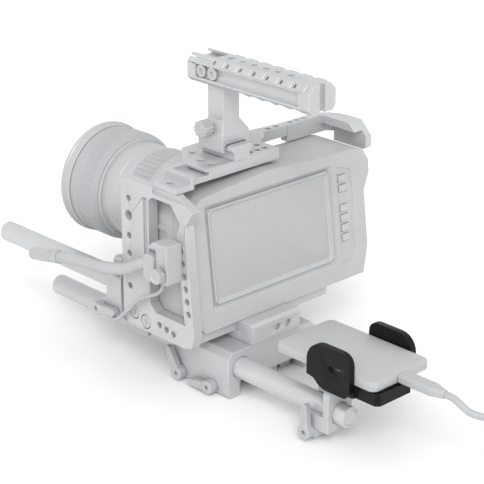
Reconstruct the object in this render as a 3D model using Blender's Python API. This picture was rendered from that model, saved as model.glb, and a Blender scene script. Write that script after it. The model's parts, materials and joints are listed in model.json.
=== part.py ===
"""Cinema camera rig: a mirrorless cinema camera with a zoom lens in a cage,
on a 15 mm rod baseplate, with a top handle, a drive holder and its cables.

Frame: +Z up, +Y towards the subject (lens side), +X towards the grip.
The origin is the centre of the baseplate's underside, below the lens axis.
Sizes are millimetres; MM turns them into Blender's metres when meshes are made.
"""
import math

import bmesh
import bpy
from mathutils import Matrix, Vector

MM = 0.001

# ---- Clearances -------------------------------------------------------------
GAP = 0.3            # between two faces that touch on the real object
RUNNING = 0.4        # around a piece that turns or slides

# ---- Rods and lens axis -----------------------------------------------------
ROD_DIAMETER = 15.0
ROD_SPACING = 60.0
ROD_Z = 21.0         # rod axis above the baseplate's underside
LENS_ABOVE_RODS = 85.0
LENS_Z = ROD_Z + LENS_ABOVE_RODS
NEAR_ROD_Y = (-127.0, 172.0)
FAR_ROD_Y = (-60.0, 145.0)
SIDE_ROD_X = -53.4
SIDE_ROD_Z = 62.0
SIDE_ROD_Y = (58.0, 202.0)

# ---- Baseplate --------------------------------------------------------------
BASE_WIDTH = 83.0
BASE_Y = (-26.0, 30.0)
BASE_TOP = 34.0
BASE_BELLY = 11.0    # underside between the two rod clamps
LIP_SET_BACK = 11.0  # inner lips start this far ahead of the rear face
FOOT_SIZE = (28.0, 34.0)
LIP_SLOT = 2.0       # split in each rod clamp
LEVER_HUB = 5.0
LEVER_BORE = 2.5
LEVER_LENGTH = 19.0
LEVER_THICK = 6.0

# ---- Plates under the camera --------------------------------------------------
RELEASE_X = (-20.4, 25.6)
RELEASE_Y = (-27.0, 34.0)
RELEASE_THICK = 6.7
CAGE_FLOOR_THICK = 7.4
CAGE_FLOOR_Y = (-12.0, 44.0)
CAGE_FLOOR_RIGHT = 76.0

# ---- Camera body --------------------------------------------------------------
CAMERA_LEFT = -58.4
CAMERA_RIGHT = 116.4
CAMERA_HEIGHT = 96.0
CAMERA_FRONT = 45.0
GRIP_FRONT = 72.0
SIDE_FLAT = (20.0, 60.0)  # the grip's outer flat, above the camera's underside
SIDE_IN = 6.4        # the flat lies this far inside the widest point
CARD_DOOR_HEIGHT = 36.0
BACK_TILT = math.radians(7.2)
SCREEN_X = 17.6
SCREEN_Y = -7.0
SCREEN_ABOVE_BOTTOM = 49.0
SHELL_WALL = 2.2
COVER_PROUD = 2.0    # cover's back face behind the glass
COVER_DEPTH = 14.0   # from the glass plane to the seam
GLASS_SIZE = (116.0, 67.0)
GLASS_THICK = 1.2
BUTTON_SIZE = (7.4, 4.8)
BUTTON_PITCH = 7.2
BUTTON_X = 70.8
BUTTON_TRAVEL = 0.8

# ---- Lens ---------------------------------------------------------------------
FLANGE_FOCAL = 19.3
MOUNT_DEPTH = 4.0
LENS_LENGTH = 101.7
BARREL_RADIUS = 36.0
FRONT_RADIUS = 41.3
ZOOM_RIBS = 28

# ---- Cage ---------------------------------------------------------------------
SIDE_THICK = 8.0
CAGE_TOP_THICK = 8.0
CAGE_TOP_SPACE = 2.0  # between the camera's top and the cage
THREAD_HOLE = 2.3
BIG_HOLE = 3.6
LOOP_RIGHT = 124.8
LOOP_THICK = 5.6
LOOP_DEPTH = 20.0
LOOP_SLOPE = 11.0    # chamfer on the bar's rear end

FRONT_CLAMP_Y = (59.5, 75.5)
FRONT_CLAMP_HALF = 9.6  # from the side rod's axis to the clamp's outer face

# ---- Top handle ---------------------------------------------------------------
RAIL_WIDTH = 19.0
RAIL_Y = (4.0, 37.0)
HANDLE_WIDTH = 24.6
HANDLE_HEIGHT = 19.0
HANDLE_Y = (-68.5, 45.0)
HANDLE_BOTTOM = 204.0
POST_SIZE = 15.0
POST_Y = 22.5
FOOT_DEPTH = 24.0

# ---- Drive holder -------------------------------------------------------------
DRIVE_SIZE = (53.4, 87.0, 6.8)
DRIVE_X = -11.3
DRIVE_Y = -109.4
DRIVE_ABOVE_RODS = 28.7
CARRIAGE_Y = (-118.0, -96.0)
TRAY_WIDTH = 33.5
TRAY_THICK = 8.6
TRAY_BEHIND = 2.4    # tray's rear edge beyond the drive
JAW_Y = (16.0, 53.2)  # both jaws, measured from the drive's rear face
FIXED_JAW_HEIGHT = 21.8
FIXED_JAW_THICK = 5.0
SLIDING_JAW_HEIGHT = 16.4
SLIDING_JAW_THICK = 4.6
PLUG_SIZE = (10.6, 6.2)
PLUG_LENGTH = 25.0
RELIEF_LENGTH = 10.0

# ---- Cables -------------------------------------------------------------------
DRIVE_CABLE = 4.6
VIDEO_CABLE = 8.4
THIN_LEAD = 2.6
COIL_RADIUS = 25.0   # to the middle of the coiled cable

# ---- Sizes worked out from the ones above --------------------------------------
ROD_RADIUS = ROD_DIAMETER / 2
ROD_X = ROD_SPACING / 2
ROD_BORE = ROD_RADIUS + GAP
RELEASE_BOTTOM = BASE_TOP + GAP
FLOOR_BOTTOM = RELEASE_BOTTOM + RELEASE_THICK + GAP
FLOOR_TOP = FLOOR_BOTTOM + CAGE_FLOOR_THICK
CAMERA_BOTTOM = FLOOR_TOP + GAP
CAMERA_TOP = CAMERA_BOTTOM + CAMERA_HEIGHT
SCREEN_Z = CAMERA_BOTTOM + SCREEN_ABOVE_BOTTOM
MOUNT_Y = CAMERA_FRONT + GAP
LENS_REAR = MOUNT_Y + MOUNT_DEPTH + GAP
LENS_FRONT = LENS_REAR + LENS_LENGTH
SENSOR_Y = MOUNT_Y + MOUNT_DEPTH - FLANGE_FOCAL
CAGE_RIGHT_OF_SIDE = CAMERA_LEFT - 0.6
CAGE_LEFT = CAGE_RIGHT_OF_SIDE - SIDE_THICK
CAGE_TOP_BOTTOM = CAMERA_TOP + CAGE_TOP_SPACE
CAGE_TOP = CAGE_TOP_BOTTOM + CAGE_TOP_THICK
RAIL_BOTTOM = CAGE_TOP + GAP
HANDLE_TOP = HANDLE_BOTTOM + HANDLE_HEIGHT
DRIVE_BOTTOM = ROD_Z + DRIVE_ABOVE_RODS
DRIVE_MIDDLE = DRIVE_BOTTOM + DRIVE_SIZE[2] / 2
TRAY_TOP = DRIVE_BOTTOM - GAP
TRAY_BOTTOM = TRAY_TOP - TRAY_THICK
BACK = (Matrix.Translation(Vector((SCREEN_X, SCREEN_Y, SCREEN_Z)) * MM)
        @ Matrix.Rotation(-BACK_TILT, 4, "X"))

# ---- Finishes: colour, roughness, metallic ----------------------------------------
FINISHES = {
    "camera grey": ((0.42, 0.43, 0.44), 0.55, 0.0),
    "cage grey": ((0.52, 0.53, 0.54), 0.45, 0.6),
    "lens grey": ((0.47, 0.48, 0.49), 0.40, 0.2),
    "rod grey": ((0.60, 0.61, 0.62), 0.30, 0.8),
    "steel": ((0.62, 0.62, 0.60), 0.28, 1.0),
    "black": ((0.03, 0.03, 0.035), 0.45, 0.1),
    "rubber": ((0.30, 0.31, 0.32), 0.75, 0.0),
    "glass": ((0.30, 0.32, 0.34), 0.08, 0.0),
    "board green": ((0.03, 0.14, 0.06), 0.50, 0.0),
}


# ============================ tools for making solids ============================

def clear_scene():
    for thing in list(bpy.data.objects):
        bpy.data.objects.remove(thing, do_unlink=True)


def along(axis, flat, height):
    """A point from two values in the plane across an axis and one along it."""
    first, second = flat
    if axis == "X":
        return Vector((height, first, second)) * MM
    if axis == "Y":
        return Vector((first, height, second)) * MM
    return Vector((first, second, height)) * MM


def prism(axis, outline, start, end, end_outline=None):
    """An outline across an axis, drawn out from start to end along it."""
    shape = bmesh.new()
    finish = end_outline or outline
    low = [shape.verts.new(along(axis, point, start)) for point in outline]
    high = [shape.verts.new(along(axis, point, end)) for point in finish]
    shape.faces.new(low)
    shape.faces.new(high)
    count = len(outline)
    for index in range(count):
        following = (index + 1) % count
        shape.faces.new((low[index], low[following], high[following], high[index]))
    bmesh.ops.recalc_face_normals(shape, faces=shape.faces)
    return shape


def box(x_range, y_range, z_range):
    (x0, x1), (y0, y1) = x_range, y_range
    return prism("Z", [(x0, y0), (x1, y0), (x1, y1), (x0, y1)], *z_range)


def circle(centre, radius, sides=24, start=0.0):
    """Corner points of a round outline."""
    step = 2 * math.pi / sides
    return [(centre[0] + radius * math.cos(start + step * turn),
             centre[1] + radius * math.sin(start + step * turn)) for turn in range(sides)]


def cylinder(axis, centre, radius, start, end, sides=24):
    return prism(axis, circle(centre, radius, sides), start, end)


def turned(axis, centre, profile, sides=24):
    """A closed profile of (radius, height) points turned about an axis."""
    shape = bmesh.new()
    rings = []
    for radius, height in profile:
        if radius == 0:
            rings.append([shape.verts.new(along(axis, centre, height))] * sides)
            continue
        ring = circle(centre, radius, sides)
        rings.append([shape.verts.new(along(axis, point, height)) for point in ring])
    count = len(rings)
    for index in range(count):
        here, there = rings[index], rings[(index + 1) % count]
        for turn in range(sides):
            onward = (turn + 1) % sides
            corners = [here[turn], here[onward], there[onward], there[turn]]
            face = list(dict.fromkeys(corners))
            if len(face) > 2:
                shape.faces.new(face)
    bmesh.ops.recalc_face_normals(shape, faces=shape.faces)
    return shape


def cylinders(axis, centres, radius, start, end, sides=12):
    return joined([cylinder(axis, centre, radius, start, end, sides) for centre in centres])


def joined(shapes):
    """Several separate solids as one mesh."""
    whole = bmesh.new()
    for shape in shapes:
        mesh = bpy.data.meshes.new("piece")
        shape.to_mesh(mesh)
        shape.free()
        whole.from_mesh(mesh)
        bpy.data.meshes.remove(mesh)
    return whole


def moved(shape, matrix):
    bmesh.ops.transform(shape, matrix=matrix, verts=shape.verts)
    return shape


def mirrored_x(outline):
    """A half outline on the +X side, completed by its mirror image."""
    return outline + [(-x, z) for x, z in reversed(outline)]


def chamfered(x_range, z_range, cut):
    """A rectangle with its four corners cut off."""
    (x0, x1), (z0, z1) = x_range, z_range
    return [(x0 + cut, z0), (x1 - cut, z0), (x1, z0 + cut), (x1, z1 - cut),
            (x1 - cut, z1), (x0 + cut, z1), (x0, z1 - cut), (x0, z0 + cut)]


def inset(outline, distance):
    """The outline drawn in by a distance; its corners run counter-clockwise."""
    result = []
    count = len(outline)
    for index in range(count):
        before = Vector(outline[index - 1])
        here = Vector(outline[index])
        after = Vector(outline[(index + 1) % count])
        first = (here - before).normalized()
        second = (after - here).normalized()
        inward = Vector((-first.y - second.y, first.x + second.x)).normalized()
        reach = distance / max(0.2, inward.dot(Vector((-first.y, first.x))))
        result.append(tuple(here + inward * reach))
    return result


def finish_material(name, finish):
    colour, roughness, metallic = FINISHES[finish]
    material = bpy.data.materials.new(name + " finish")
    material.use_nodes = True
    shader = material.node_tree.nodes["Principled BSDF"]
    shader.inputs["Base Color"].default_value = (*colour, 1.0)
    shader.inputs["Roughness"].default_value = roughness
    shader.inputs["Metallic"].default_value = metallic
    material.diffuse_color = (*colour, 1.0)
    return material


def mesh_object(name, shape, origin, frame):
    """An object whose origin is at a point given in its frame."""
    anchor = Vector(origin) * MM
    bmesh.ops.translate(shape, vec=-anchor, verts=shape.verts)
    mesh = bpy.data.meshes.new(name)
    shape.to_mesh(mesh)
    shape.free()
    thing = bpy.data.objects.new(name, mesh)
    thing.matrix_world = frame @ Matrix.Translation(anchor)
    bpy.context.collection.objects.link(thing)
    return thing


def helper_object(name, shape, frame):
    """A hidden solid that only joins or cuts a part."""
    helper = mesh_object(name, shape, (0, 0, 0), frame)
    helper.hide_render = True
    helper.display_type = "WIRE"
    return helper


def part(name, finish, base, add=(), cut=(), keep=(), origin=(0, 0, 0),
         frame=Matrix.Identity(4), cut_frame=None, sharp=30):
    """One named piece: a base solid joined with, kept within and cut by others."""
    thing = mesh_object(name, base, origin, frame)
    for operation, shapes in (("UNION", add), ("INTERSECT", keep), ("DIFFERENCE", cut)):
        for index, shape in enumerate(shapes):
            label = f"{name} {operation.lower()} {index}"
            where = cut_frame if cut_frame is not None and operation == "DIFFERENCE" else frame
            modifier = thing.modifiers.new(label, "BOOLEAN")
            modifier.operation = operation
            modifier.object = helper_object(label, shape, where)
    thing.data.materials.append(finish_material(name, finish))
    thing.data.shade_smooth()
    thing.data.set_sharp_from_angle(angle=math.radians(sharp))
    return thing


def smooth_route(points, spacing):
    """Points at an even spacing on a smooth curve through the route's points."""
    knots = [Vector(point) for point in points]
    knots = [2 * knots[0] - knots[1]] + knots + [2 * knots[-1] - knots[-2]]
    dense = []
    for index in range(1, len(knots) - 2):
        before, start, end, after = knots[index - 1:index + 3]
        for step in range(40):
            t = step / 40
            dense.append(0.5 * (2 * start + (end - before) * t
                                + (2 * before - 5 * start + 4 * end - after) * t ** 2
                                + (3 * start - before - 3 * end + after) * t ** 3))
    dense.append(knots[-2])
    lengths = [0.0]
    for first, second in zip(dense, dense[1:]):
        lengths.append(lengths[-1] + (second - first).length)
    count = max(2, round(lengths[-1] / spacing))
    result = []
    place = 0
    for index in range(count + 1):
        target = lengths[-1] * index / count
        while place < len(lengths) - 2 and lengths[place + 1] < target:
            place += 1
        share = (target - lengths[place]) / (lengths[place + 1] - lengths[place])
        result.append(dense[place].lerp(dense[place + 1], share))
    return result


def cord(name, finish, diameter, route, leave, arrive=None, spacing=2.5, resolution=2):
    """A round cord along a smooth curve, square to the pieces that it leaves and meets."""
    curve = bpy.data.curves.new(name, "CURVE")
    curve.dimensions = "3D"
    curve.bevel_depth = diameter / 2 * MM
    curve.bevel_resolution = resolution
    curve.use_fill_caps = True
    spline = curve.splines.new("POLY")
    stub = 0.6 * diameter
    start = Vector(route[0])
    inner = [start + Vector(leave).normalized() * stub] + list(route[1:])
    points = [start] + smooth_route(inner, spacing * diameter)
    if arrive is not None:
        points[-1] = points[-1] - Vector(arrive).normalized() * stub
        points.append(Vector(route[-1]))
    spline.points.add(len(points) - 1)
    for place, point in zip(spline.points, points):
        place.co = (*(point * MM), 1.0)
    thing = bpy.data.objects.new(name, curve)
    curve.materials.append(finish_material(name, finish))
    bpy.context.collection.objects.link(thing)
    return thing


# ================================== baseplate ==================================

def clamp_outline():
    """Front view of the baseplate: two split rod clamps joined by a bridge."""
    edge = BASE_WIDTH / 2
    half = [(FOOT_SIZE[0] / 2, 0.0), (FOOT_SIZE[0] / 2, BASE_BELLY), (inner_lip(), BASE_BELLY),
            (inner_lip(), 1.5), (inner_lip() + 1.5, 0.0), (edge - 2.0, 0.0), (edge, 2.0),
            (edge, BASE_TOP - 4.0), (edge - 4.0, BASE_TOP)]
    return mirrored_x(half)


def inner_lip():
    """Inner edge of the rod clamps, as far from the rod as their outer edge."""
    return ROD_X - (BASE_WIDTH / 2 - ROD_X)


def lever_places():
    """Pivot (y, z) of each rod clamp lever."""
    front = BASE_Y[1] - 9.0
    rear = BASE_Y[0] + 16.0
    return front, rear, 5.6


def make_baseplate():
    front, rear, height = lever_places()
    overall = (BASE_Y[0] - 1, BASE_Y[1] + 1)
    slot = LIP_SLOT / 2
    bores = cylinders("Y", [(-ROD_X, ROD_Z), (ROD_X, ROD_Z)], ROD_BORE, *overall, sides=32)
    slots = joined([box((x - slot, x + slot), overall, (-1, ROD_Z)) for x in (-ROD_X, ROD_X)])
    shafts = cylinders("X", [(front, height), (rear, height)], LEVER_BORE + GAP,
                       -BASE_WIDTH / 2 - 1, -ROD_X + 8)
    far_shaft = cylinder("X", (front, height), LEVER_BORE + GAP, ROD_X - 8, BASE_WIDTH / 2 + 1, 12)
    foot_x = FOOT_SIZE[0] / 2
    ends = joined([box((-foot_x - 0.05, foot_x + 0.05), (BASE_Y[0] - 1, -FOOT_SIZE[1] / 2),
                       (-1, BASE_BELLY)),
                   box((-foot_x - 0.05, foot_x + 0.05), (FOOT_SIZE[1] / 2, BASE_Y[1] + 1),
                       (-1, BASE_BELLY))])
    lips = joined([box(sorted((side * (inner_lip() - 1), side * ROD_X)),
                       (BASE_Y[0] - 1, BASE_Y[0] + LIP_SET_BACK), (-1, BASE_BELLY))
                   for side in (-1, 1)])
    threads = joined([cylinder("Z", (0, 10), 3.2, -1, 12), cylinder("Z", (0, -10), 4.8, -1, 12)])
    part("baseplate", "cage grey", prism("Y", clamp_outline(), *BASE_Y),
         cut=(bores, slots, lips, shafts, far_shaft, ends, threads))


def make_clamp_lever(name, side, pivot, face_x, reach_to, angle, length=LEVER_LENGTH):
    """A clamp lever: hub, arm and the screw that pulls the clamp together."""
    y, z = pivot
    near = face_x + side * GAP
    outer = near + side * LEVER_THICK
    hub = cylinder("X", pivot, LEVER_HUB, *sorted((near, outer)))
    direction = Vector((math.cos(angle), math.sin(angle)))
    across = Vector((-direction.y, direction.x))
    centre = Vector(pivot)
    tip = centre + direction * length
    arm = [tuple(centre + across * 3.4), tuple(centre - across * 3.4), tuple(tip - across * 2.2),
           tuple(tip + direction * 1.6), tuple(tip + across * 2.2)]
    arm_solid = prism("X", arm, *sorted((near + side * 1.6, outer - side * 0.4)))
    shaft = cylinder("X", pivot, LEVER_BORE, *sorted((near + side * 1.0, reach_to)), sides=12)
    socket = cylinder("X", pivot, 1.8, *sorted((outer - side * 2.5, outer + side)), sides=6)
    part(name, "cage grey", hub, add=(arm_solid, shaft), cut=(socket,), origin=(near, y, z))


def make_base_levers():
    front, rear, height = lever_places()
    left = -BASE_WIDTH / 2
    inner = -ROD_X + 7
    make_clamp_lever("base_lever_front", -1, (front, height), left, inner, math.radians(62))
    make_clamp_lever("base_lever_rear", -1, (rear, height), left, inner, math.radians(-6))
    make_clamp_lever("base_lever_far", 1, (front, height), -left, -inner, math.radians(62))


def make_rods():
    for name, x, reach in (("near_rod", -ROD_X, NEAR_ROD_Y), ("far_rod", ROD_X, FAR_ROD_Y)):
        make_rod(name, (x, ROD_Z), reach)
    make_rod("side_rod", (SIDE_ROD_X, SIDE_ROD_Z), SIDE_ROD_Y)


def make_rod(name, centre, reach):
    """A tube with a threaded bore at each end and chamfered rims."""
    start, end = reach
    rim = 0.8
    profile = [(ROD_RADIUS - rim, start), (ROD_RADIUS, start + rim), (ROD_RADIUS, end - rim),
               (ROD_RADIUS - rim, end), (4.5, end), (4.5, start)]
    part(name, "rod grey", turned("Y", centre, profile), origin=(centre[0], start, centre[1]))


def make_release_plate():
    """Dovetail plate between base and cage, with an upright stop behind the cage floor."""
    y0, y1 = RELEASE_Y
    stop = CAGE_FLOOR_Y[0] - GAP
    top = RELEASE_BOTTOM + RELEASE_THICK
    outline = [(y0, RELEASE_BOTTOM), (y1, RELEASE_BOTTOM), (y1, top), (stop, top),
               (stop, FLOOR_TOP), (y0 + 2, FLOOR_TOP), (y0, FLOOR_TOP - 2)]
    screws = cylinders("Y", [(4.0, 40.6), (14.0, 40.6)], 2.6, y0 - 1, y0 + 3)
    part("quick_release_plate", "cage grey", prism("X", outline, *RELEASE_X), cut=(screws,))


# =================================== camera ====================================

def camera_outline():
    """The camera body from behind, corners counter-clockwise from the lower left."""
    left, right = CAMERA_LEFT, CAMERA_RIGHT
    low, high = CAMERA_BOTTOM, CAMERA_TOP
    flat = right - SIDE_IN
    return [(left, low + 9), (left + 6, low), (flat - 6.2, low), (flat - 2.6, low + 11),
            (flat, low + SIDE_FLAT[0]), (flat, low + SIDE_FLAT[1]), (right, high - 24),
            (right, high - 15), (right - 4.6, high - 7), (right - 15.6, high - 4),
            (right - 43, high - 4), (SCREEN_X, high),
            (left + 14, high - 5), (left + 5, high - 11), (left, high - 24)]


def camera_plan():
    """The camera body from above, with the grip standing forward on the right."""
    left, right = CAMERA_LEFT - 2, CAMERA_RIGHT + 2
    return [(left, -60), (right, -60), (right, GRIP_FRONT - 24), (right - 5.6, GRIP_FRONT - 10),
            (right - 15.6, GRIP_FRONT), (right - 35.6, GRIP_FRONT), (right - 41.6, GRIP_FRONT - 6),
            (right - 47.6, CAMERA_FRONT), (left + 8, CAMERA_FRONT), (left, CAMERA_FRONT - 7)]


def grip_slope_frame():
    """Frame on the sloping top of the grip; its Z points out of the slope."""
    slope = math.atan2(23.0, 32.0)
    return (Matrix.Translation(Vector((97.0, GRIP_FRONT - 20, CAMERA_TOP - 12.6)) * MM)
            @ Matrix.Rotation(-slope, 4, "X"))


def side_frame():
    """Frame at the foot of the grip's outer flat; its X points outwards."""
    foot = Vector((CAMERA_RIGHT - SIDE_IN, 30.0, CAMERA_BOTTOM + SIDE_FLAT[0]))
    return Matrix.Translation(foot * MM)


def seam_slab(toward_back, gap=0.0):
    """Everything on one side of the tilted seam between cover and shell."""
    if toward_back:
        return box((-200, 200), (-200, COVER_DEPTH + gap), (-200, 200))
    return box((-200, 200), (COVER_DEPTH, 200), (-200, 200))


def door_cut():
    """Opening for the battery door in the grip's underside."""
    x0, x1, y0, y1 = battery_door_edges()
    return box((x0 - GAP, x1 + GAP), (y0 - GAP, y1 + GAP), (CAMERA_BOTTOM - 5, CAMERA_BOTTOM + 4))


def battery_door_edges():
    return CAGE_FLOOR_RIGHT + 4.3, CAMERA_RIGHT - 14.6, 18.0, GRIP_FRONT - 12.0


def dial_profile(radius, half_width, shaft, half_shaft):
    return [(0, -half_shaft), (shaft, -half_shaft), (shaft, -half_width), (radius, -half_width),
            (radius, half_width), (shaft, half_width), (shaft, half_shaft), (0, half_shaft)]


def make_front_shell():
    outline = camera_outline()
    hollow = inset(outline, SHELL_WALL)
    shell = prism("Y", outline, -40, GRIP_FRONT + 1)
    plan = prism("Z", camera_plan(), 0, CAMERA_TOP + 20)
    seam = moved(seam_slab(True, GAP), BACK)
    main_room = prism("Y", hollow, -50, CAMERA_FRONT - SHELL_WALL - 0.5)
    grip_room = box((CAMERA_RIGHT - 38, CAMERA_RIGHT - 15.4), (30, GRIP_FRONT - 8),
                    (CAMERA_BOTTOM + SHELL_WALL, CAMERA_BOTTOM + 63))
    mount_hole = cylinder("Y", (0, LENS_Z), 20.0, CAMERA_FRONT - 10, CAMERA_FRONT + 5, 40)
    slope = moved(box((-150, 60), (-40, 60), (0, 60)), grip_slope_frame())
    button_well = moved(turned("Z", (0, 0), [(0, -7), (8.2, -7), (8.2, -2.6), (6.4, -2.6),
                                            (6.4, 5), (0, 5)], 24), grip_slope_frame())
    dial_slot = moved(turned("X", (16, -4.4), dial_profile(7.6, 4.4, 1.9, 7.2), 24),
                      grip_slope_frame())
    card_slot = moved(box((-8, 6), (-14.3, 14.3), (2.0 - GAP, 2.0 + CARD_DOOR_HEIGHT + GAP)),
                      side_frame())
    ports = joined([box((CAMERA_LEFT - 2, CAMERA_LEFT + 1.2), (17, 28), (z, z + 16))
                    for z in (CAMERA_BOTTOM + 50, CAMERA_BOTTOM + 69)])
    part("camera_front_shell", "camera grey", shell, keep=(plan,),
         cut=(seam, main_room, grip_room, mount_hole, slope, button_well, dial_slot,
              card_slot, door_cut(), ports))


def button_heights():
    """Heights of the rear buttons on the tilted back, upper pair first."""
    upper = [21.0 + BUTTON_PITCH * step for step in (0.5, -0.5)]
    lower = [-8.0 + BUTTON_PITCH * step for step in (1.5, 0.5, -0.5, -1.5)]
    return upper + lower


def rectangle(width, height, centre=(0, 0)):
    x, z = centre
    return [(x - width / 2, z - height / 2), (x + width / 2, z - height / 2),
            (x + width / 2, z + height / 2), (x - width / 2, z + height / 2)]


def make_rear_cover():
    outline = camera_outline()
    cover = prism("Y", outline, -40, 40)
    body = moved(box((-200, 200), (-COVER_PROUD, COVER_DEPTH), (-200, 200)), BACK)
    hollow = [(x - SCREEN_X, z - SCREEN_Z) for x, z in inset(outline, SHELL_WALL)]
    room = moved(prism("Y", hollow, SHELL_WALL + 1.6, COVER_DEPTH + 30), BACK)
    width, height = GLASS_SIZE
    pocket = moved(prism("Y", rectangle(width + 2 * GAP, height + 2 * GAP), -10,
                         GLASS_THICK + GAP), BACK)
    rim = moved(prism("Y", rectangle(width + 8, height + 8), -COVER_PROUD - 1,
                      0.0, rectangle(width + 1.5, height + 1.5)), BACK)
    panel = [(65, 34), (79, 30), (81, 8), (78.5, -7), (80, -27), (75, -38), (65, -38)]
    panel_cut = moved(prism("Y", panel[::-1], -COVER_PROUD - 5, -COVER_PROUD + 0.8), BACK)
    wells = joined([prism("Y", rectangle(BUTTON_SIZE[0] + 2 * GAP, BUTTON_SIZE[1] + 2 * GAP,
                                         (BUTTON_X, height)), -10, 10)
                    for height in button_heights()])
    part("camera_rear_cover", "camera grey", cover, keep=(body,),
         cut=(room, rim, pocket, panel_cut, moved(wells, BACK)))


def make_display():
    glass = prism("Y", rectangle(*GLASS_SIZE), 0, GLASS_THICK)
    part("display_glass", "glass", glass, frame=BACK)


def make_rear_buttons():
    names = ("zoom_button", "focus_button", "iris_button", "menu_button", "frame_rate_button",
             "play_button")
    inside = SHELL_WALL + 1.6
    for name, height in zip(names, button_heights()):
        centre = (BUTTON_X, height)
        cap = prism("Y", rectangle(*BUTTON_SIZE, centre), -COVER_PROUD - 0.2, inside + 0.6)
        flange = prism("Y", rectangle(BUTTON_SIZE[0] + 1.6, BUTTON_PITCH - 0.8, centre),
                       inside + GAP, inside + 1.2)
        part(name, "rubber", cap, add=(flange,), origin=(BUTTON_X, inside, height), frame=BACK)


def make_record_button():
    profile = [(0, -4.0), (7.6, -4.0), (7.6, -2.9), (6.0, -2.9), (6.0, 1.0), (5.2, 1.4), (0, 1.4)]
    part("record_button", "black", turned("Z", (0, 0), profile, 24), frame=grip_slope_frame())


def make_front_dial():
    profile = dial_profile(7.1, 4.0, 1.5, 6.8)
    part("front_dial", "rubber", turned("X", (16, -4.4), profile, 24), origin=(0, 16, -4.4),
         frame=grip_slope_frame())


def make_doors():
    x0, x1, y0, y1 = battery_door_edges()
    floor = CAMERA_BOTTOM - 2.6
    plate = prism("Y", [(x0, floor + 1.5), (x0 + 1.5, floor), (x1, floor), (x1, floor + 4.4),
                        (x0, floor + 4.4)], y0, y1)
    part("battery_door", "camera grey", plate, origin=(x1 - 0.4, y0, floor + 0.5))
    card = box((-2.0, 0.0), (-14.0, 14.0), (2.0, 2.0 + CARD_DOOR_HEIGHT))
    part("card_door", "camera grey", card, origin=(-0.6, 13.4, 2.0), frame=side_frame())


def make_camera_insides():
    board_y = 15.0
    board = box((-44, 70), (board_y, board_y + 1.6), (CAMERA_BOTTOM + 9, CAMERA_BOTTOM + 85))
    part("main_board", "board green", board)
    base_y = board_y + 1.6 + GAP
    fin_top = SENSOR_Y - 4.2
    fins = joined([box((x, x + 1.6), (base_y + 1.8, fin_top), (72, 128)) for x in range(-20, 46, 9)])
    part("heat_sink", "steel", box((-24, 46), (base_y, base_y + 2.0), (72, 128)), add=(fins,))
    blades = joined([moved(box((-1, 1), (base_y + 1, base_y + 6), (3.5, 12.5)),
                           Matrix.Translation(Vector((-40, 0, 79)) * MM)
                           @ Matrix.Rotation(math.radians(turn * 360 / 7), 4, "Y"))
                     for turn in range(7)])
    hub = cylinder("Y", (-40, 79), 5.0, base_y + 0.2, base_y + 7)
    part("fan_rotor", "black", hub, add=(blades,), origin=(-40, base_y, 79))
    sensor = box((-12, 12), (SENSOR_Y - 2.2, SENSOR_Y), (LENS_Z - 9, LENS_Z + 9))
    carrier = box((-20, 20), (SENSOR_Y - 3.6, SENSOR_Y - 2), (LENS_Z - 17, LENS_Z + 17))
    part("image_sensor", "board green", carrier, add=(sensor,))
    x1 = CAMERA_RIGHT - 15.9
    battery = prism("Z", chamfered((x1 - 21, x1), (20, 58.4), 1.5), CAMERA_BOTTOM + 2.8,
                    CAMERA_BOTTOM + 59.8)
    part("battery_pack", "black", battery)


# ==================================== lens =====================================

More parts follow.
